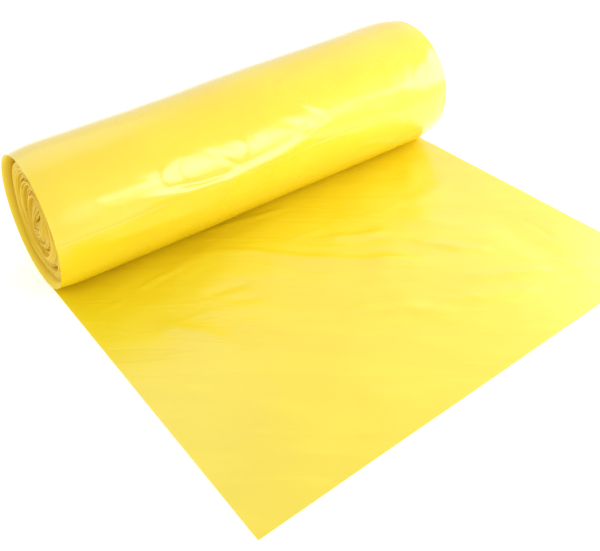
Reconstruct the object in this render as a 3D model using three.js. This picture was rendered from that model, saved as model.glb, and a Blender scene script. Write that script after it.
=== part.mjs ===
// A roll of flat refuse bags, with its lead bag unrolled on the floor in front of it.
// Millimetres, +Z up. The roll's axis runs along X and the lead bag reaches towards -Y.
// The origin is the middle of the whole object's underside.

import * as THREE from 'three';

// Driving dimensions
const webWidth = 450; // the bags' width, and so the roll's length
const rollDiameter = 135; // over the outermost turn, halfway along the roll and before it settles
const boreDiameter = 22; // left by the winding mandrel: the roll has no core
const bagLength = 650; // one bag, from its mouth to the perforation at its sealed end
const flatLength = 344; // the stretch of the lead bag that lies unrolled, up to the roll's lowest line
const bagThickness = 0.6; // two plies of film with the air that lies between them
const windingGap = 0.3; // between the outermost turn and the turn below it

// How the loosely wound roll has settled where it lies
const taper = 5.5; // the right end is larger in radius than the left end by this much
const sag = 5.8; // the roll's middle has sunk by this much, and its underside is flattened
const bulge = 1.4; // its front and back have spread by this much, and its top has dropped

// The turns as they show on the roll's ends
const turnBands = 9; // groups of turns that stand at one depth
const grooveWidth = 1.2; // the slack between two groups
const grooveDepth = 2.5;
const telescope = 5; // how far the inner turns have slipped in behind the outer ones
const proudShare = 0.3; // the share of the winding over which they slip in
const rimSoftening = 2.5; // the outer turns' edges curl in by this much

const rollSegments = 48;
const wrapSegments = 48;

const filmYellow = 0xf5cf1c;
const film = (name) => {
  const material = new THREE.MeshStandardMaterial({ color: filmYellow, roughness: 0.25, metalness: 0 });
  material.name = name;
  return material;
};

const outerRadius = rollDiameter / 2;
const woundRadius = outerRadius - bagThickness - windingGap;
const boreRadius = boreDiameter / 2;
const halfWidth = webWidth / 2;

// Where the roll lies along Y, with the object's whole depth centred on the origin
const widestRadius = (outerRadius + taper / 2) * (1 + bulge / outerRadius);
const rollCentreY = (flatLength - widestRadius) / 2;

// Moves the points of a round roll, and of the bag that goes round it, to where they have settled
function settle(geometry) {
  const points = geometry.getAttribute('position');
  for (let i = 0; i < points.count; i += 1) {
    const x = points.getX(i);
    const y = points.getY(i) - rollCentreY;
    const z = points.getZ(i) - outerRadius;
    const onFloor = y < 0 && points.getZ(i) < bagThickness + windingGap / 2;
    const growth = 1 + (taper / outerRadius) * (x / webWidth);
    const spread = onFloor ? 1 : growth * (1 + bulge / outerRadius);
    const rise = z > 0 ? growth * (1 - bulge / outerRadius) : 1 - sag / outerRadius;
    points.setXYZ(i, x, rollCentreY + y * spread, outerRadius - sag + z * rise);
  }
  geometry.computeVertexNormals();
  return geometry;
}

// One end of the roll's profile as (radius, distance from the middle), from the bore out to the rim
function endProfile() {
  const bandWidth = (woundRadius - rimSoftening - boreRadius) / turnBands;
  const profile = [];
  for (let band = 0; band < turnBands; band += 1) {
    const inner = boreRadius + band * bandWidth;
    const outer = inner + bandWidth;
    const depthInWinding = (woundRadius - outer) / (woundRadius - boreRadius);
    const face = halfWidth - telescope * Math.min(1, depthInWinding / proudShare);
    profile.push(new THREE.Vector2(inner, face));
    if (band < turnBands - 1) {
      profile.push(new THREE.Vector2(outer - grooveWidth, face));
      profile.push(new THREE.Vector2(outer - grooveWidth / 2, face - grooveDepth));
    } else {
      profile.push(new THREE.Vector2(outer, face));
    }
  }
  profile.push(new THREE.Vector2(woundRadius, halfWidth - telescope));
  return profile;
}

// The wound film: one turned solid whose profile closes on itself round the bore
function woundRoll() {
  const rightEnd = endProfile();
  const leftEnd = rightEnd.map((point) => new THREE.Vector2(point.x, -point.y));
  const profile = [...leftEnd, ...rightEnd.reverse()];
  profile.push(profile[0].clone());
  const geometry = new THREE.LatheGeometry(profile, rollSegments);
  geometry.rotateZ(-Math.PI / 2); // the lathe turns round Y, the roll lies along X
  geometry.translate(0, rollCentreY, outerRadius);
  const mesh = new THREE.Mesh(settle(geometry), film('wound_film'));
  mesh.name = 'wound_roll';
  return mesh;
}

// The lead bag: flat on the floor, then under the roll, up its back and over its top
function leadBag() {
  const neutralRadius = outerRadius - bagThickness / 2;
  const wrapAngle = (bagLength - flatLength) / neutralRadius;
  const underside = -Math.PI / 2;
  const section = new THREE.Shape();
  section.moveTo(-flatLength, 0);
  section.lineTo(0, 0);
  section.absarc(0, outerRadius, outerRadius, underside, underside + wrapAngle, false);
  section.absarc(0, outerRadius, outerRadius - bagThickness, underside + wrapAngle, underside, true);
  section.lineTo(-flatLength, bagThickness);
  section.closePath();

  const geometry = new THREE.ExtrudeGeometry(section, {
    depth: webWidth,
    bevelEnabled: false,
    curveSegments: wrapSegments,
  });
  // The section is drawn in the plane across the roll and extruded along its axis
  const acrossRoll = new THREE.Vector3(0, 1, 0);
  const up = new THREE.Vector3(0, 0, 1);
  const alongRoll = new THREE.Vector3(1, 0, 0);
  geometry.applyMatrix4(new THREE.Matrix4().makeBasis(acrossRoll, up, alongRoll));
  geometry.translate(-halfWidth, rollCentreY, 0);
  const mesh = new THREE.Mesh(settle(geometry), film('bag_film'));
  mesh.name = 'lead_bag';
  return mesh;
}

const bagRoll = new THREE.Group();
bagRoll.add(woundRoll(), leadBag());

export default bagRoll;
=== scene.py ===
# A roll of yellow refuse bags, its lead bag unrolled on the floor in front of it.
# Metres throughout. The roll lies along X, the lead bag's mouth faces -Y, and Z is up.

import math

import bpy
import numpy as np
from mathutils import Matrix, Vector


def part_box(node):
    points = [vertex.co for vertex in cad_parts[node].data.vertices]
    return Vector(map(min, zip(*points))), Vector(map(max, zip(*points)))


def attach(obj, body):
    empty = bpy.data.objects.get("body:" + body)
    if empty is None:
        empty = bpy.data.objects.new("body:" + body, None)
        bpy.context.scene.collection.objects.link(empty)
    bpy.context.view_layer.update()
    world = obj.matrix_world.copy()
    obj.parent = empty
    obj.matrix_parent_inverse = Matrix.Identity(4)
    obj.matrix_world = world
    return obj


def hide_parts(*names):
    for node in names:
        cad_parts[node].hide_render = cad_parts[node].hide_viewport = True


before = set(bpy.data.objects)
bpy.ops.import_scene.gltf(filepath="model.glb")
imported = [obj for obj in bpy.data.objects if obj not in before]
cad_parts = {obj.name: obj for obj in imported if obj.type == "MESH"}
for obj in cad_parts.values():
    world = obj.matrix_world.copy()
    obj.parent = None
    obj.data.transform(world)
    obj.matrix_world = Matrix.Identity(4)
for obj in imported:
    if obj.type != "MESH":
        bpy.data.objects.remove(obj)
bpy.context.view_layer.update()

MM = 0.001
BODY = "root"

# Sizes taken from the frame
bag_low, bag_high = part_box("lead_bag")
WEB_WIDTH = bag_high[0] - bag_low[0]
HALF_WIDTH = WEB_WIDTH / 2
MOUTH_Y = bag_low[1]

# How the loosely wound roll has settled: a little conical and oval, and flat where it lies
LEFT_SHARE = 0.96
RIGHT_SHARE = 1.0415
AXIS_SHARE = 0.913
OVAL = 0.02
ROLL_RADIUS = bag_high[2] / (AXIS_SHARE + RIGHT_SHARE * (1 - OVAL))
LEFT_RADIUS = LEFT_SHARE * ROLL_RADIUS
RIGHT_RADIUS = RIGHT_SHARE * ROLL_RADIUS
AXIS_HEIGHT = AXIS_SHARE * ROLL_RADIUS
ROLL_Y = bag_high[1] - RIGHT_RADIUS * (1 + OVAL)
FLAT_LENGTH = ROLL_Y - MOUTH_Y

# The bag and its film: its two plies together, and the slack between turns
BAG_LENGTH = 650 * MM
PLIES = 0.35 * MM
TURN_SLACK = 0.15 * MM

# The perforation: where it lies round the roll, and its slits
PERFORATION_ANGLE = (BAG_LENGTH - FLAT_LENGTH) / ROLL_RADIUS
PERFORATION_STEP = 0.006  # radians over which the film's thickness ends there
SLIT_PITCH = 4 * MM
SLIT_LENGTH = 2.4 * MM
SLIT_WIDTH = 0.3 * MM
SLIT_MARGIN = 3 * MM
SLIT_LIFT = 0.1 * MM

# How softly film meets the floor, and how far the roll's rims are let down
FLOOR_SOFTNESS = 1.2 * MM
RIM_DROP = 2.4 * MM
RIM_REACH = 12 * MM

# Where the unrolled sheet lies calm: at its side edges, its mouth and the line where the roll rests
SIDE_CALM = 60 * MM
MOUTH_CALM = 50 * MM
CONTACT_CLEAR = 14 * MM
CONTACT_REACH = 50 * MM
SHEET_LIFT = 1.2 * MM

# The turns on the roll's ends: a proud collar, and groups of turns that stand in behind it
TURN_GROUPS = 27
COLLAR_SHARE = 0.045
COLLAR_SOFTNESS = 0.018
RECESS_DEPTH = 6 * MM
EDGE_SCATTER = 0.9 * MM
GROOVE_DEPTH = 0.9 * MM
GROOVE_PLACE = 0.06
GROOVE_WIDTH = 0.14
GAP_DEPTH = 9 * MM
GAP_WIDTH = 0.022
RIM_START = 0.02
BORE_LONG = 10 * MM
BORE_SHORT = 2 * MM
BORE_TURN = math.radians(35)

# Mesh spacing, with the wrap's mesh closer from WRAP_SEEN_FROM on, where it faces the camera
ACROSS_STEPS = 170
FLAT_STEPS = 124
WRAP_STEPS_HIDDEN = 48
WRAP_STEPS_SEEN = 52
WRAP_SEEN_FROM = math.radians(195)
ROLL_STEPS = 240
END_STEPS = 96
BORE_STEPS = 10


# Angles round the roll run from its lowest line, up its back, over its top and down its front


def smooth_floor(height, floor):
    """Heights pressed softly up to the floor level."""
    lift = (height - floor) / FLOOR_SOFTNESS
    return floor + FLOOR_SOFTNESS * np.logaddexp(0, lift)


def swell(across, along, wavelength, seed, waves=14):
    """A smooth random unevenness of about unit height, in metres of film."""
    random = np.random.default_rng(seed)
    total = np.zeros(np.broadcast(across, along).shape)
    for _ in range(waves):
        heading = random.uniform(0, math.pi)
        length = wavelength * random.uniform(0.7, 1.5)
        phase = random.uniform(0, 2 * math.pi)
        travel = across * math.cos(heading) + along * math.sin(heading)
        total = total + np.sin(2 * math.pi * travel / length + phase)
    return total / math.sqrt(waves / 2)


# A sharp crease: how softly its flanks run out, how round its crest is, how hollow its flanks are
FLANK_RUN_OUT = 0.07
CREST_ROUNDING = 0.004
FLANK_HOLLOW = 1.4

# Every crease fades towards its ends, over this share of its length and down to this share of its height
FADE_REACH = 0.25
FADE_LOW = 0.15


def crease(across, along, points, height, left, right, sharp=False):
    """A ridge of film along a line of points, with its own width on each side of the line.
    A sharp ridge has straight flanks that meet at its crest, the others are rounded."""
    nearest = np.full(np.broadcast(across, along).shape, 1e9)
    width = np.ones_like(nearest)
    place = np.zeros_like(nearest)
    lengths = [math.dist(a, b) for a, b in zip(points, points[1:])]
    start = 0.0
    for (a, b), length in zip(zip(points, points[1:]), lengths):
        ux, uy = (b[0] - a[0]) / length, (b[1] - a[1]) / length
        run = (across - a[0]) * ux + (along - a[1]) * uy
        side = (across - a[0]) * uy - (along - a[1]) * ux
        beyond = run - np.clip(run, 0, length)
        distance = np.hypot(side, beyond)
        closer = distance < nearest
        nearest = np.where(closer, distance, nearest)
        width = np.where(closer, np.where(side > 0, right, left), width)
        place = np.where(closer, start + np.clip(run, 0, length), place)
        start += length
    reach = nearest / width
    rest = (1 - np.sqrt(reach**2 + CREST_ROUNDING)) / FLANK_RUN_OUT
    flank = FLANK_RUN_OUT * np.logaddexp(0, rest)
    profile = flank**FLANK_HOLLOW if sharp else np.exp(-(reach**2))
    ends = np.clip(np.minimum(place, start - place) / (FADE_REACH * start), 0, 1)
    return height * profile * (FADE_LOW + (1 - FADE_LOW) * ends * ends * (3 - 2 * ends))


# Creases of the unrolled sheet: points (across, distance in front of the roll's lowest line),
# height and the widths on both sides, all in mm, and whether the crease is sharp
SHEET_CREASES = [
    ([(-140, 40), (-80, 75), (-55, 97), (-25, 131), (12, 166), (60, 208), (84, 232)], 3.0, 46, 34, False),
    ([(-120, 50), (-80, 75), (-55, 97), (-25, 131), (12, 166), (38, 186), (60, 208), (80, 230)],
     1.7, 16, 8, True),
    ([(12, 118), (40, 138), (70, 152)], 1.8, 12, 9, True),
    ([(70, 176), (86, 196), (106, 222)], 1.8, 9, 7, True),
    ([(80, 190), (105, 216), (122, 240)], 1.6, 8, 7, True),
    ([(68, 246), (104, 268), (146, 288)], 1.7, 10, 7, True),
    ([(20, 250), (60, 272), (120, 300)], 1.5, 14, 9, True),
    ([(-50, 205), (0, 240), (40, 285)], 1.9, 22, 14, True),
    ([(-178, 118), (-150, 158), (-136, 192)], 2.0, 22, 14, True),
    ([(92, 132), (131, 205), (154, 238)], 1.4, 16, 14, False),
    ([(138, 104), (160, 84), (184, 66)], 1.5, 12, 10, False),
    ([(110, 124), (150, 130), (200, 118)], 1.4, 9, 12, False),
    ([(-86, 32), (-60, 37), (-32, 43), (-8, 50), (22, 55)], 2.4, 6, 8, True),
    ([(-170, 73), (-142, 70), (-112, 72)], 1.3, 5, 6, True),
    ([(-208, 76), (-184, 78)], 1.2, 5, 5, True),
    ([(-124, 120), (-100, 124), (-80, 132)], -1.4, 8, 10, True),
    ([(183, 216), (184, 238), (181, 262)], -1.2, 4, 6, True),
    ([(214, 146), (212, 162), (213, 178)], -1.1, 4, 5, True),
    ([(166, 190), (160, 230), (158, 290)], -1.5, 12, 14, False),
    ([(-176, 298), (-140, 326)], 1.2, 10, 8, False),
    ([(-100, 290), (-50, 325)], 1.1, 12, 9, False),
]

# Creases of the roll's outer turn: the same, with points (across in mm, angle in degrees).
# The first is the slack fold along the roll's front.
ROLL_CREASES = [
    ([(-158, 247), (-128, 252), (-100, 257.5), (-55, 260), (0, 257.5), (48, 250), (88, 244)],
     2.0, 18, 8, True),
    ([(-112, 231), (-116, 240), (-111, 250)], 0.7, 5, 4, True),
    ([(-99, 233), (-104, 241), (-98, 251)], -0.6, 4, 4, True),
    ([(-72, 232), (-58, 243), (-40, 256)], -0.9, 4, 5, True),
    ([(-112, 249), (-84, 254), (-52, 256)], -1.1, 4, 4, True),
    ([(-38, 230), (-31, 240), (-36, 250)], 0.6, 5, 4, True),
    ([(-17, 228), (-19, 236), (-17, 243)], -0.6, 4, 4, True),
    ([(34, 217), (52, 230), (76, 244)], 1.1, 6, 4, True),
    ([(8, 232), (30, 240), (48, 248)], -0.5, 5, 5, False),
    ([(-200, 235), (-160, 240), (-120, 242)], 0.6, 7, 7, False),
    ([(90, 236), (140, 242), (190, 243)], 0.6, 6, 6, False),
    ([(-205, 268), (-150, 274), (-90, 276)], 0.7, 7, 7, False),
    ([(110, 252), (150, 262), (200, 266)], 0.7, 8, 8, False),
]


def loose_creases(seed, count, low, high, heading, turn, length, rise):
    """Small creases strewn between two corners (mm), mostly along one heading (degrees)."""
    random = np.random.default_rng(seed)
    strewn = []
    for _ in range(count):
        middle = random.uniform(low, high)
        angle = math.radians(random.normal(heading, turn))
        half = random.uniform(0.4, 1.0) * length / 2
        step = np.array([math.cos(angle), math.sin(angle)]) * half
        bend = np.array([-math.sin(angle), math.cos(angle)]) * half * random.uniform(-0.3, 0.3)
        points = [tuple(middle - step), tuple(middle + bend), tuple(middle + step)]
        height = random.uniform(0.3, 1.0) * rise * random.choice([-1, 1])
        strewn.append((points, height, random.uniform(4, 9), random.uniform(4, 9), True))
    return strewn


def sheet_relief(across, along):
    """Height of the unrolled sheet above the floor, along measured from the mouth."""
    ahead = FLAT_LENGTH - along
    height = np.zeros(np.broadcast(across, along).shape)
    small = loose_creases(41, 70, (-220, 40), (220, 340), 40, 22, 80, 0.55)
    for points, rise, left, right, sharp in SHEET_CREASES + small:
        line = [(x * MM, y * MM) for x, y in points]
        height = height + crease(across, ahead, line, rise * MM, left * MM, right * MM, sharp)
    broad = 0.7 * MM * swell(across, along, 190 * MM, 3)
    middle = 0.16 * MM * swell(across, along, 60 * MM, 5)
    fine = 0.03 * MM * swell(across, along, 22 * MM, 7)
    side = np.clip((HALF_WIDTH - np.abs(across)) / SIDE_CALM, 0, 1)
    front = np.clip(along / MOUTH_CALM, 0, 1)
    off_contact = np.clip((ahead - CONTACT_CLEAR) / CONTACT_REACH, 0, 1)
    loose = (0.35 + 0.65 * side) * (0.3 + 0.7 * front) * off_contact
    height = (height + broad + middle + SHEET_LIFT) * loose + fine * off_contact
    return smooth_floor(height, 0)


def roll_relief(across, angle):
    """How far the roll's outer turn stands out or in, beyond its settled form."""
    along = angle * ROLL_RADIUS
    out = np.zeros(np.broadcast(across, angle).shape)
    small = loose_creases(43, 40, (-215, 200), (215, 262), 20, 50, 26, 0.22)
    small = small + loose_creases(47, 30, (-215, 20), (215, 300), 8, 25, 70, 0.25)
    for points, rise, left, right, sharp in ROLL_CREASES + small:
        line = [(x * MM, math.radians(a) * ROLL_RADIUS) for x, a in points]
        out = out + crease(across, along, line, rise * MM, left * MM, right * MM, sharp)
    out = out + 0.30 * MM * swell(across, along * 1.6, 210 * MM, 11)
    out = out + 0.06 * MM * swell(across, along, 48 * MM, 13)
    return out + 0.015 * MM * swell(across, along, 15 * MM, 17)


def settled_radius(across):
    """Radius of the conical roll, with its rims let down."""
    share = across / WEB_WIDTH + 0.5
    radius = LEFT_RADIUS + (RIGHT_RADIUS - LEFT_RADIUS) * share
    edge = (HALF_WIDTH - np.abs(across)) / RIM_REACH
    return radius - RIM_DROP * np.exp(-np.clip(edge, 0, None) ** 1.5)


def end_lean(across, angle):
    """How far the turns near the left end have slipped inwards along the axis."""
    slip = (2.6 - 3.4 * np.cos(angle) + 1.4 * np.sin(angle)) * MM
    nearness = np.clip(-across / HALF_WIDTH, 0, 1) ** 6
    return slip * nearness


def roll_point(across, angle, inset, floor):
    """Points on the settled roll, moved inwards by inset, as (x, y, z) arrays."""
    radius = settled_radius(across) + roll_relief(across, angle) - inset
    x = across + end_lean(across, angle)
    y = ROLL_Y + radius * (1 + OVAL) * np.sin(angle)
    z = AXIS_HEIGHT - radius * (1 - OVAL) * np.cos(angle)
    return x, y, smooth_floor(z, floor)


def grid_faces(rows, columns, close_rows=False, close_columns=False):
    """Quads of a grid of points, row by row, closed on itself where asked."""
    row = np.arange(rows if close_rows else rows - 1)
    column = np.arange(columns if close_columns else columns - 1)
    r, c = np.meshgrid(row, column, indexing="ij")
    r2, c2 = (r + 1) % rows, (c + 1) % columns
    corners = [r * columns + c, r * columns + c2, r2 * columns + c2, r2 * columns + c]
    return np.stack(corners, axis=-1).reshape(-1, 4)


def make_piece(name, points, faces, uv, materials, slots=None, crisp=50, depth=None):
    """A smooth-shaded mesh object at the origin, with its UV map in metres."""
    mesh = bpy.data.meshes.new(name)
    mesh.from_pydata(points.tolist(), [], faces.tolist())
    for material in materials:
        mesh.materials.append(material)
    layer = mesh.uv_layers.new(name="film")
    corner = np.empty(len(mesh.loops), dtype=np.int32)
    mesh.loops.foreach_get("vertex_index", corner)
    layer.data.foreach_set("uv", uv[corner].astype(np.float32).ravel())
    if slots is not None:
        mesh.polygons.foreach_set("material_index", slots.astype(np.int32))
    # The depth attribute holds each point's share of painted shade, which the end material darkens by
    if depth is not None:
        shade = mesh.attributes.new("depth", "FLOAT", "POINT")
        shade.data.foreach_set("value", depth.astype(np.float32).ravel())
    mesh.polygons.foreach_set("use_smooth", np.ones(len(mesh.polygons), dtype=bool))
    mesh.set_sharp_from_angle(angle=math.radians(crisp))
    mesh.update()
    piece = bpy.data.objects.new(name, mesh)
    bpy.context.scene.collection.objects.link(piece)
    return piece


def film_normals(points):
    """Unit normals of a grid of points, from its own slopes."""
    along = np.gradient(points, axis=0)
    across = np.gradient(points, axis=1)
    normal = np.cross(across, along)
    return normal / np.linalg.norm(normal, axis=-1, keepdims=True)


# The lead bag: flat on the floor, under the roll, up its back and over its top


def lead_bag_film(flat_material, wound_material):
    """A closed mesh of an upper and a lower layer, joined along all four edges."""
    angles = np.concatenate([
        np.linspace(0, WRAP_SEEN_FROM, WRAP_STEPS_HIDDEN)[1:],
        np.linspace(WRAP_SEEN_FROM, PERFORATION_ANGLE, WRAP_STEPS_SEEN)[1:],
    ])
    flat = np.linspace(0, FLAT_LENGTH, FLAT_STEPS)
    across = np.linspace(-HALF_WIDTH, HALF_WIDTH, ACROSS_STEPS)

    x_flat, s_flat = np.meshgrid(across, flat)
    sheet = np.stack([x_flat, MOUTH_Y + s_flat, PLIES / 2 + sheet_relief(x_flat, s_flat)], axis=-1)
    x_wrap, a_wrap = np.meshgrid(across, angles)
    turn = np.stack(roll_point(x_wrap, a_wrap, PLIES / 2, PLIES / 2), axis=-1)
    middle = np.concatenate([sheet, turn])
    normal = film_normals(middle)

    rows, columns = middle.shape[:2]
    upper = (middle + normal * PLIES / 2).reshape(-1, 3)
    lower = (middle - normal * PLIES / 2).reshape(-1, 3)
    count = rows * columns
    faces = grid_faces(rows, columns)
    wound = (faces[:, 0] // columns >= len(flat)).astype(np.int32)
    rim = np.concatenate([
        np.arange(columns),
        np.arange(1, rows) * columns + columns - 1,
        (rows - 1) * columns + np.arange(columns - 2, -1, -1),
        np.arange(rows - 2, 0, -1) * columns,
    ])
    following = np.roll(rim, -1)
    edge = np.stack([rim, rim + count, following + count, following], axis=-1)
    wound_edge = (edge[:, 0] // columns >= len(flat)).astype(np.int32)
    along = np.concatenate([flat, FLAT_LENGTH + angles * ROLL_RADIUS])
    x_uv, s_uv = np.meshgrid(across, along)
    uv = np.stack([x_uv, s_uv], axis=-1).reshape(-1, 2)
    return make_piece(
        "lead_bag_film",
        np.concatenate([upper, lower]),
        np.concatenate([faces, faces[:, ::-1] + count, edge]),
        np.concatenate([uv, uv]),
        [flat_material, wound_material],
        np.concatenate([wound, wound, wound_edge]),
    )


# The wound turns: their outer surface, both ends with every group of turns, and the bore


def bore_radius(angle):
    """The collapsed bore, seen from the axis."""
    turned = angle - BORE_TURN
    return BORE_LONG * BORE_SHORT / np.hypot(BORE_SHORT * np.cos(turned), BORE_LONG * np.sin(turned))


# Gaps between turns, as (share of the winding from the rim to the bore, first angle, last angle)
LEFT_GAPS = [
    (0.07, 4, 178), (0.10, 20, 150), (0.09, 274, 302), (0.10, 210, 236),
    (0.28, 318, 342), (0.60, 192, 236), (0.70, 338, 366),
]
RIGHT_GAPS = [(0.13, 60, 110), (0.30, 150, 215), (0.55, 300, 350), (0.78, 20, 80)]


def end_depth(share, angle, seed, gaps):
    """How deep the film's edges stand behind the rim, for a share of the winding and an angle."""
    random = np.random.default_rng(seed)
    scatter = random.normal(0, 1, TURN_GROUPS + 2)
    sway = random.uniform(0, 2 * math.pi, TURN_GROUPS + 2)
    turn = share * TURN_GROUPS + angle / (2 * math.pi)
    group = np.clip(np.floor(turn).astype(int), 0, TURN_GROUPS + 1)
    place = turn - np.floor(turn)
    step = scatter[group] + 0.8 * np.sin(angle + sway[group]) + 0.4 * np.sin(3 * angle - sway[group])
    groove = np.exp(-((place - GROOVE_PLACE) / GROOVE_WIDTH) ** 2)
    sink = 1 / (1 + np.exp(-(share - COLLAR_SHARE) / COLLAR_SOFTNESS))
    depth = RECESS_DEPTH * sink * (1 + 0.25 * share)
    depth = depth + EDGE_SCATTER * (0.2 + 0.8 * sink) * step + GROOVE_DEPTH * groove * (0.3 + 0.7 * sink)
    for middle, first, last in gaps:
        off = (angle - math.radians((first + last) / 2) + math.pi) % (2 * math.pi) - math.pi
        span = math.radians((last - first) / 2)
        depth = depth + GAP_DEPTH * np.exp(-(((share - middle) / GAP_WIDTH) ** 2) - (off / span) ** 4)
    return np.clip(depth, 0, None) * np.clip(share / RIM_START, 0, 1)


def wound_turns(side_material, end_material):
    """One closed mesh, whose outer surface lies under the lead bag as far as the perforation."""
    angles = np.linspace(0, 2 * math.pi, ROLL_STEPS, endpoint=False)
    across = np.linspace(-HALF_WIDTH, HALF_WIDTH, ACROSS_STEPS)
    covered = 1 / (1 + np.exp((angles - PERFORATION_ANGLE) / PERFORATION_STEP))
    inset = (PLIES + TURN_SLACK) * covered
    floor = PLIES + TURN_SLACK

    angle, x = np.meshgrid(angles, across, indexing="ij")
    side = np.stack(roll_point(x, angle, inset[:, None], floor), axis=-1)

    def end(rim, outward, seed, gaps):
        shares = np.linspace(0, 1, END_STEPS + 1)[1:]
        a, share = np.meshgrid(angles, shares, indexing="ij")
        axis = np.array([0.0, ROLL_Y, AXIS_HEIGHT])
        bore = bore_radius(a)
        core = np.stack([np.zeros_like(a), bore * np.sin(a), -bore * np.cos(a)], axis=-1) + axis
        from_rim = rim[:, None, :]
        points = from_rim + (core - from_rim) * share[..., None]
        depth = end_depth(share, a, seed, gaps)
        points[..., 0] = from_rim[..., 0] - outward * depth
        # The second value is the edges' share of painted shade, greater the deeper they lie
        return points, depth / (2 * RECESS_DEPTH)

    left, left_recess_shade = end(side[:, 0], -1, 21, LEFT_GAPS)
    right, right_recess_shade = end(side[:, -1], 1, 31, RIGHT_GAPS)
    bore_steps = np.linspace(0, 1, BORE_STEPS)[1:-1]
    tunnel = left[:, -1:, :] + (right[:, -1:, :] - left[:, -1:, :]) * bore_steps[None, :, None]
    ring = np.concatenate([side, right, tunnel[:, ::-1], left[:, ::-1]], axis=1)
    # Share of painted shade per point: none on the outer surface, by depth on both ends, full in the bore
    depth = [np.zeros(side.shape[:2]), right_recess_shade, np.ones(tunnel.shape[:2]), left_recess_shade[:, ::-1]]
    depth = np.concatenate(depth, axis=1)

    rows, columns = ring.shape[:2]
    faces = grid_faces(rows, columns, close_rows=True, close_columns=True)
    column = faces[:, 0] % columns
    slots = np.where(column < ACROSS_STEPS - 1, 0, 1)

    steps = np.linalg.norm(np.diff(ring, axis=1), axis=-1)
    travel = np.concatenate([np.zeros((rows, 1)), np.cumsum(steps, axis=1)], axis=1)
    arc = np.broadcast_to(angle[:, :1] * ROLL_RADIUS, travel.shape)
    uv = np.stack([travel - HALF_WIDTH, FLAT_LENGTH + arc], axis=-1).reshape(-1, 2)
    materials = [side_material, end_material]
    return make_piece("wound_turns", ring.reshape(-1, 3), faces, uv, materials, slots, 42, depth)


# Node helpers


def node(tree, kind, **values):
    made = tree.nodes.new(kind)
    for key, value in values.items():
        setattr(made, key, value)
    return made


def noise(tree, scale, detail, roughness, distortion=0.0):
    made = node(tree, "ShaderNodeTexNoise")
    made.inputs["Scale"].default_value = scale
    made.inputs["Detail"].default_value = detail
    made.inputs["Roughness"].default_value = roughness
    made.inputs["Distortion"].default_value = distortion
    return made


# The perforation: a row of short slits across the web, where the lead bag tears off


def perforation_tree():
    """Slits laid along a line of edges, facing outward, from named measures."""
    tree = bpy.data.node_groups.new("perforation_row", "GeometryNodeTree")
    face = tree.interface
    face.new_socket("Geometry", in_out="INPUT", socket_type="NodeSocketGeometry")
    for name, default in (("Pitch", SLIT_PITCH), ("Slit Length", SLIT_LENGTH), ("Slit Width", SLIT_WIDTH)):
        socket = face.new_socket(name, in_out="INPUT", socket_type="NodeSocketFloat")
        socket.default_value = default
    face.new_socket("Outward", in_out="INPUT", socket_type="NodeSocketVector")
    face.new_socket("Material", in_out="INPUT", socket_type="NodeSocketMaterial")
    face.new_socket("Geometry", in_out="OUTPUT", socket_type="NodeSocketGeometry")
    given = node(tree, "NodeGroupInput")
    out = node(tree, "NodeGroupOutput")
    link = tree.links.new

    line = node(tree, "GeometryNodeMeshToCurve")
    spaced = node(tree, "GeometryNodeResampleCurve", mode="LENGTH")
    link(given.outputs["Geometry"], line.inputs["Mesh"])
    link(line.outputs["Curve"], spaced.inputs["Curve"])
    link(given.outputs["Pitch"], spaced.inputs["Length"])

    disc = node(tree, "GeometryNodeMeshCircle", fill_type="NGON")
    disc.inputs["Vertices"].default_value = 12
    disc.inputs["Radius"].default_value = 0.5
    size = node(tree, "ShaderNodeCombineXYZ")
    size.inputs["Z"].default_value = 1
    slit = node(tree, "GeometryNodeTransform")
    link(given.outputs["Slit Length"], size.inputs["X"])
    link(given.outputs["Slit Width"], size.inputs["Y"])
    link(disc.outputs["Mesh"], slit.inputs["Geometry"])
    link(size.outputs["Vector"], slit.inputs["Scale"])

    facing = node(tree, "FunctionNodeAlignRotationToVector", axis="Z")
    link(given.outputs["Outward"], facing.inputs["Vector"])
    tangent = node(tree, "GeometryNodeInputTangent")
    turned = node(tree, "FunctionNodeAlignRotationToVector", axis="X", pivot_axis="Z")
    link(facing.outputs["Rotation"], turned.inputs["Rotation"])
    link(tangent.outputs["Tangent"], turned.inputs["Vector"])
    row = node(tree, "GeometryNodeInstanceOnPoints")
    link(spaced.outputs["Curve"], row.inputs["Points"])
    link(slit.outputs["Geometry"], row.inputs["Instance"])
    link(turned.outputs["Rotation"], row.inputs["Rotation"])

    solid = node(tree, "GeometryNodeRealizeInstances")
    dressed = node(tree, "GeometryNodeSetMaterial")
    link(row.outputs["Instances"], solid.inputs["Geometry"])
    link(solid.outputs["Geometry"], dressed.inputs["Geometry"])
    link(given.outputs["Material"], dressed.inputs["Material"])
    link(dressed.outputs["Geometry"], out.inputs["Geometry"])
    return tree


def perforation_slits(material):
    """Slits along the line where the lead bag meets the next one, just over the film, coloured with the
    gap's painted shade.
    """
    across = np.linspace(-HALF_WIDTH + SLIT_MARGIN, HALF_WIDTH - SLIT_MARGIN, 120)
    angle = np.full_like(across, PERFORATION_ANGLE)
    line = np.stack(roll_point(across, angle, -SLIT_LIFT, 0), axis=-1)
    mesh = bpy.data.meshes.new("perforation_line")
    mesh.from_pydata(line.tolist(), [(i, i + 1) for i in range(len(line) - 1)], [])
    carrier = bpy.data.objects.new("perforation_line", mesh)
    bpy.context.scene.collection.objects.link(carrier)
    tree = perforation_tree()
    modifier = carrier.modifiers.new("perforation", "NODES")
    modifier.node_group = tree
    inputs = [item for item in tree.interface.items_tree if item.in_out == "INPUT"]
    sockets = {item.name: item.identifier for item in inputs}
    modifier[sockets["Outward"]] = (0.0, math.sin(PERFORATION_ANGLE), -math.cos(PERFORATION_ANGLE))
    modifier[sockets["Material"]] = material
    seen = carrier.evaluated_get(bpy.context.evaluated_depsgraph_get())
    slits = bpy.data.objects.new("perforation_slits", bpy.data.meshes.new_from_object(seen))
    bpy.data.objects.remove(carrier)
    bpy.context.scene.collection.objects.link(slits)
    return slits


# Materials

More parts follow.
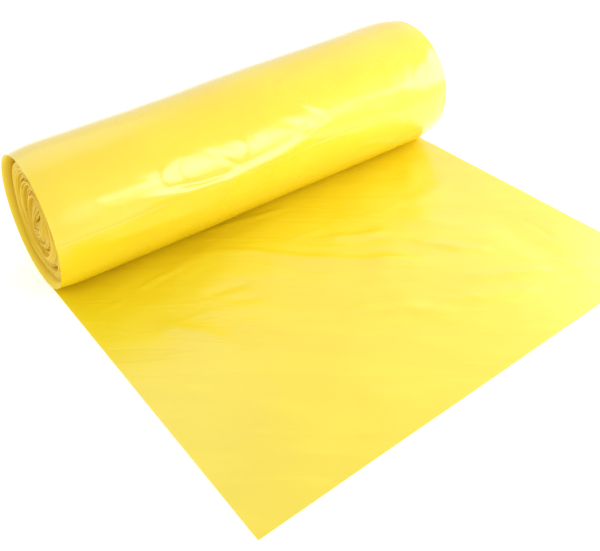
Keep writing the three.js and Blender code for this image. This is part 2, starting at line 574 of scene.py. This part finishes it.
# Fine creases of the film, which run aslant over the web
CREASE_SLANT = math.radians(40)
CREASE_RUN = 110 * MM
CREASE_WIDTH = 20 * MM


def film_finish_group():
    """Mottling, draw lines and fine creases of blown film, from its UV map in metres."""
    tree = bpy.data.node_groups.new("blown_film_finish", "ShaderNodeTree")
    face = tree.interface
    face.new_socket("Web", in_out="INPUT", socket_type="NodeSocketVector")
    for name in ("Deep", "Pale"):
        face.new_socket(name, in_out="INPUT", socket_type="NodeSocketColor")
    for name in ("Roughness", "Crease Whitening And Light", "Crumple", "Creases", "Draw Lines"):
        face.new_socket(name, in_out="INPUT", socket_type="NodeSocketFloat")
    face.new_socket("Colour", in_out="OUTPUT", socket_type="NodeSocketColor")
    face.new_socket("Roughness", in_out="OUTPUT", socket_type="NodeSocketFloat")
    face.new_socket("Height", in_out="OUTPUT", socket_type="NodeSocketFloat")
    given = node(tree, "NodeGroupInput")
    out = node(tree, "NodeGroupOutput")
    link = tree.links.new

    mottle = noise(tree, scale=14, detail=5, roughness=0.55)
    link(given.outputs["Web"], mottle.inputs["Vector"])
    crumple = noise(tree, scale=60, detail=5, roughness=0.5, distortion=0.8)
    link(given.outputs["Web"], crumple.inputs["Vector"])

    # Creases run aslant over the web, draw lines run along it
    aslant = node(tree, "ShaderNodeMapping", vector_type="TEXTURE")
    aslant.inputs["Rotation"].default_value = (0, 0, -CREASE_SLANT)
    aslant.inputs["Scale"].default_value = (CREASE_RUN, CREASE_WIDTH, 1)
    link(given.outputs["Web"], aslant.inputs["Vector"])
    creases = noise(tree, scale=1, detail=4, roughness=0.45, distortion=0.5)
    link(aslant.outputs["Vector"], creases.inputs["Vector"])
    fold = node(tree, "ShaderNodeMapRange", interpolation_type="SMOOTHERSTEP")
    fold.inputs["From Min"].default_value = 0.42
    fold.inputs["From Max"].default_value = 0.62
    link(creases.outputs["Fac"], fold.inputs["Value"])
    stretch = node(tree, "ShaderNodeMapping")
    stretch.inputs["Scale"].default_value = (420, 5, 1)
    link(given.outputs["Web"], stretch.inputs["Vector"])
    lines = noise(tree, scale=1, detail=2, roughness=0.5)
    link(stretch.outputs["Vector"], lines.inputs["Vector"])

    # Pale film lies in soft patches, and by its share on the creases too: partly stress whitening, partly
    # painted light on their crests
    mix = node(tree, "ShaderNodeMix", data_type="RGBA")
    crease_whitening_and_light = node(tree, "ShaderNodeMix", data_type="FLOAT")
    link(given.outputs["Crease Whitening And Light"], crease_whitening_and_light.inputs["Factor"])
    link(mottle.outputs["Fac"], crease_whitening_and_light.inputs["A"])
    link(fold.outputs["Result"], crease_whitening_and_light.inputs["B"])
    link(crease_whitening_and_light.outputs["Result"], mix.inputs["Factor"])
    link(given.outputs["Deep"], mix.inputs["A"])
    link(given.outputs["Pale"], mix.inputs["B"])
    link(mix.outputs["Result"], out.inputs["Colour"])

    spread = node(tree, "ShaderNodeMapRange")
    spread.inputs["From Min"].default_value = 0.3
    spread.inputs["From Max"].default_value = 0.7
    spread.inputs["To Min"].default_value = -0.05
    spread.inputs["To Max"].default_value = 0.06
    link(mottle.outputs["Fac"], spread.inputs["Value"])
    rough = node(tree, "ShaderNodeMath", operation="ADD")
    link(given.outputs["Roughness"], rough.inputs[0])
    link(spread.outputs["Result"], rough.inputs[1])
    link(rough.outputs["Value"], out.inputs["Roughness"])

    # The height adds up from its three parts, each times its own input
    parts = (
        (crumple.outputs["Fac"], "Crumple"),
        (fold.outputs["Result"], "Creases"),
        (lines.outputs["Fac"], "Draw Lines"),
    )
    total = None
    for value, share in parts:
        added = node(tree, "ShaderNodeMath", operation="MULTIPLY_ADD")
        link(value, added.inputs[0])
        link(given.outputs[share], added.inputs[1])
        added.inputs[2].default_value = 0
        if total is not None:
            link(total.outputs["Value"], added.inputs[2])
        total = added
    link(total.outputs["Value"], out.inputs["Height"])
    return tree


def film_material(name, finish, deep, pale, shine, relief, crease_whitening_and_light=0.0):
    """Film with its colours, its shine as shader values, and its relief heights in metres."""
    material = bpy.data.materials.new(name)
    material.use_nodes = True
    tree = material.node_tree
    link = tree.links.new
    shader = tree.nodes["Principled BSDF"]
    for socket, value in shine.items():
        shader.inputs[socket].default_value = value
    web = node(tree, "ShaderNodeUVMap", uv_map="film")
    group = node(tree, "ShaderNodeGroup", node_tree=finish)
    group.inputs["Deep"].default_value = (*deep, 1)
    group.inputs["Pale"].default_value = (*pale, 1)
    group.inputs["Roughness"].default_value = shine["Roughness"]
    # How pale the creases are painted: partly stress whitening, partly painted light on their crests
    group.inputs["Crease Whitening And Light"].default_value = crease_whitening_and_light
    for share, height in relief.items():
        group.inputs[share].default_value = height
    bump = node(tree, "ShaderNodeBump")
    bump.inputs["Strength"].default_value = 1.0
    bump.inputs["Distance"].default_value = 1.0
    link(web.outputs["UV"], group.inputs["Web"])
    link(group.outputs["Colour"], shader.inputs["Base Color"])
    link(group.outputs["Roughness"], shader.inputs["Roughness"])
    link(group.outputs["Height"], bump.inputs["Height"])
    link(bump.outputs["Normal"], shader.inputs["Normal"])
    return material


def turn_edge_material(finish, proud, recess_shade_colour, shine, relief):
    """The film's edges on the roll's ends, with painted shade that makes them darker where they lie deeper
    in.
    """
    material = film_material("turn_edges", finish, proud, proud, shine, relief)
    tree = material.node_tree
    link = tree.links.new
    # Painted shade: the colour is mixed towards a dark gold by the depth attribute, fully so in the bore
    depth = node(tree, "ShaderNodeAttribute", attribute_name="depth")
    group = next(n for n in tree.nodes if n.bl_idname == "ShaderNodeGroup")
    painted_recess_shade = node(tree, "ShaderNodeMix", data_type="RGBA")
    painted_recess_shade.inputs["B"].default_value = (*recess_shade_colour, 1)
    link(depth.outputs["Fac"], painted_recess_shade.inputs["Factor"])
    link(group.outputs["Colour"], painted_recess_shade.inputs["A"])
    link(painted_recess_shade.outputs["Result"], tree.nodes["Principled BSDF"].inputs["Base Color"])
    return material


def slit_material():
    """The slit's gap as painted shade: a darker gold, a little uneven in tone."""
    material = bpy.data.materials.new("perforation_gap")
    material.use_nodes = True
    tree = material.node_tree
    link = tree.links.new
    shader = tree.nodes["Principled BSDF"]
    shader.inputs["Roughness"].default_value = 0.6
    place = node(tree, "ShaderNodeTexCoord")
    uneven = noise(tree, scale=160, detail=2, roughness=0.5)
    tone = node(tree, "ShaderNodeMix", data_type="RGBA")
    tone.inputs["A"].default_value = (0.62, 0.38, 0.003, 1)
    tone.inputs["B"].default_value = (0.78, 0.52, 0.006, 1)
    link(place.outputs["Object"], uneven.inputs["Vector"])
    link(uneven.outputs["Fac"], tone.inputs["Factor"])
    link(tone.outputs["Result"], shader.inputs["Base Color"])
    return material


def floor_material():
    """A matt floor that stays white beside the brightly lit film."""
    material = bpy.data.materials.new("white_floor")
    material.use_nodes = True
    shader = material.node_tree.nodes["Principled BSDF"]
    shader.inputs["Base Color"].default_value = (0.88, 0.88, 0.88, 1)
    shader.inputs["Roughness"].default_value = 0.9
    shader.inputs["Specular IOR Level"].default_value = 0.0
    shader.inputs["Emission Color"].default_value = (1, 1, 1, 1)
    shader.inputs["Emission Strength"].default_value = 0.38
    return material


# Camera: an angle round the object, its height above the floor, and where it aims
AZIMUTH = math.radians(-36.448)
ELEVATION = math.radians(39.249)
TILT = math.radians(-1.968)
DISTANCE = 1.7786 * WEB_WIDTH
AIM_RIGHT = 0.1313 * WEB_WIDTH
AIM_UP = -0.1954 * WEB_WIDTH
FOCAL_PIXELS = 751.1
PHOTO_WIDTH_PIXELS = 600
SENSOR = 36


def add_camera():
    """The camera turned to the object, then moved sideways and up in its own picture."""
    back = Vector((
        math.sin(AZIMUTH) * math.cos(ELEVATION),
        -math.cos(AZIMUTH) * math.cos(ELEVATION),
        math.sin(ELEVATION),
    ))
    level_right = Vector((0, 0, 1)).cross(back).normalized()
    level_up = back.cross(level_right)
    right = level_right * math.cos(TILT) + level_up * math.sin(TILT)
    up = level_up * math.cos(TILT) - level_right * math.sin(TILT)
    place = Vector((0, ROLL_Y, 0)) + back * DISTANCE + right * AIM_RIGHT + up * AIM_UP
    data = bpy.data.cameras.new("photo_camera")
    data.sensor_width = SENSOR
    data.lens = FOCAL_PIXELS / PHOTO_WIDTH_PIXELS * SENSOR
    data.clip_start = 0.01
    camera = bpy.data.objects.new("photo_camera", data)
    axes = Matrix((right, up, back)).transposed().to_4x4()
    camera.matrix_world = Matrix.Translation(place) @ axes
    bpy.context.scene.collection.objects.link(camera)
    bpy.context.scene.camera = camera


# Lamps: angle round the object and elevation in degrees, distance, width and height in metres,
# power in watts, and the spread of the light in degrees
PANELS = {
    "front_panel": (18, 25, 0.70, 0.44, 0.40, 0.40, 130),
    "front_panel_middle": (19, 25, 0.69, 0.32, 0.26, 0.17, 130),
    "front_panel_left": (-4, 25, 0.71, 0.44, 0.36, 0.11, 130),
    "front_panel_tail": (42, 25, 0.70, 0.24, 0.10, 0.03, 130),
    "low_right_panel": (67, 15, 0.78, 0.70, 0.40, 2.3, 180),
    "back_right_panel": (100, 34, 1.15, 1.0, 0.9, 0.4, 180),
    "back_left_panel": (-170, 52, 1.15, 1.0, 0.9, 0.9, 180),
}
WORLD_STRENGTH = 0.88
FLOOR_REACH = 40
FLOOR_DROP = 0.3 * MM


def soft_panel(name, azimuth, elevation, distance, width, height, power, spread):
    """An oval lamp that faces the roll from an angle round it."""
    a, e = math.radians(azimuth), math.radians(elevation)
    away = Vector((math.sin(a) * math.cos(e), -math.cos(a) * math.cos(e), math.sin(e)))
    data = bpy.data.lights.new(name, "AREA")
    data.shape = "ELLIPSE"
    data.size = width
    data.size_y = height
    data.energy = power
    data.spread = math.radians(spread)
    lamp = bpy.data.objects.new(name, data)
    target = Vector((0, ROLL_Y, AXIS_HEIGHT))
    lamp.location = target + away * distance
    lamp.rotation_euler = away.to_track_quat("Z", "Y").to_euler()
    bpy.context.scene.collection.objects.link(lamp)


def studio():
    """A white world, the lamps and a plain white floor."""
    world = bpy.data.worlds.new("white_studio")
    world.use_nodes = True
    sky = world.node_tree.nodes["Background"]
    sky.inputs["Color"].default_value = (1, 1, 1, 1)
    sky.inputs["Strength"].default_value = WORLD_STRENGTH
    bpy.context.scene.world = world
    for name, values in PANELS.items():
        soft_panel(name, *values)
    near, far = -FLOOR_REACH, FLOOR_REACH
    corners = np.array([(near, near), (far, near), (far, far), (near, far)], dtype=float)
    corners = np.column_stack([corners, np.full(len(corners), -FLOOR_DROP)])
    floor = make_piece("floor", corners, np.array([[0, 1, 2, 3]]), corners[:, :2], [floor_material()])
    bpy.context.scene.view_settings.view_transform = "Standard"


# Polyethylene's shine: loose on the floor, drawn tight round the roll, and on its cut edges
FILM_IOR = 1.52
FLAT_SHINE = {
    "IOR": FILM_IOR, "Specular IOR Level": 0.9, "Roughness": 0.34,
    "Coat Weight": 0.9, "Coat Roughness": 0.26,
}
WOUND_SHINE = {
    "IOR": FILM_IOR, "Specular IOR Level": 0.75, "Roughness": 0.25,
    "Coat Weight": 0.9, "Coat Roughness": 0.20,
}
EDGE_SHINE = {"IOR": FILM_IOR, "Specular IOR Level": 0.3, "Roughness": 0.5}
FLAT_RELIEF = {"Crumple": 0.12 * MM, "Creases": 0.24 * MM, "Draw Lines": 0.006 * MM}
WOUND_RELIEF = {"Crumple": 0.12 * MM, "Creases": 0.03 * MM, "Draw Lines": 0.004 * MM}
EDGE_RELIEF = {"Crumple": 0.2 * MM}

add_camera()
studio()

finish = film_finish_group()
# The flat film's creases are paled a little: partly stress whitening, partly painted light on their crests
flat_film = film_material(
    "flat_film", finish, (0.80, 0.615, 0.001), (0.89, 0.72, 0.012), FLAT_SHINE, FLAT_RELIEF, crease_whitening_and_light=0.2)
wound_film = film_material(
    "wound_film", finish, (0.88, 0.62, 0.001), (0.94, 0.73, 0.005), WOUND_SHINE, WOUND_RELIEF)
# The turn edges' second colour is painted shade, for edges deep in the ends and in the bore
turn_edges = turn_edge_material(
    finish, (0.95, 0.74, 0.04), (0.66, 0.38, 0.002), EDGE_SHINE, EDGE_RELIEF)

bag = lead_bag_film(flat_film, wound_film)
turns = wound_turns(wound_film, turn_edges)

for piece, stands_for, slot in ((bag, "lead_bag", "bag_film"), (turns, "wound_roll", "wound_film")):
    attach(piece, BODY)
    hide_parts(stands_for)
slits = perforation_slits(slit_material())
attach(slits, BODY)
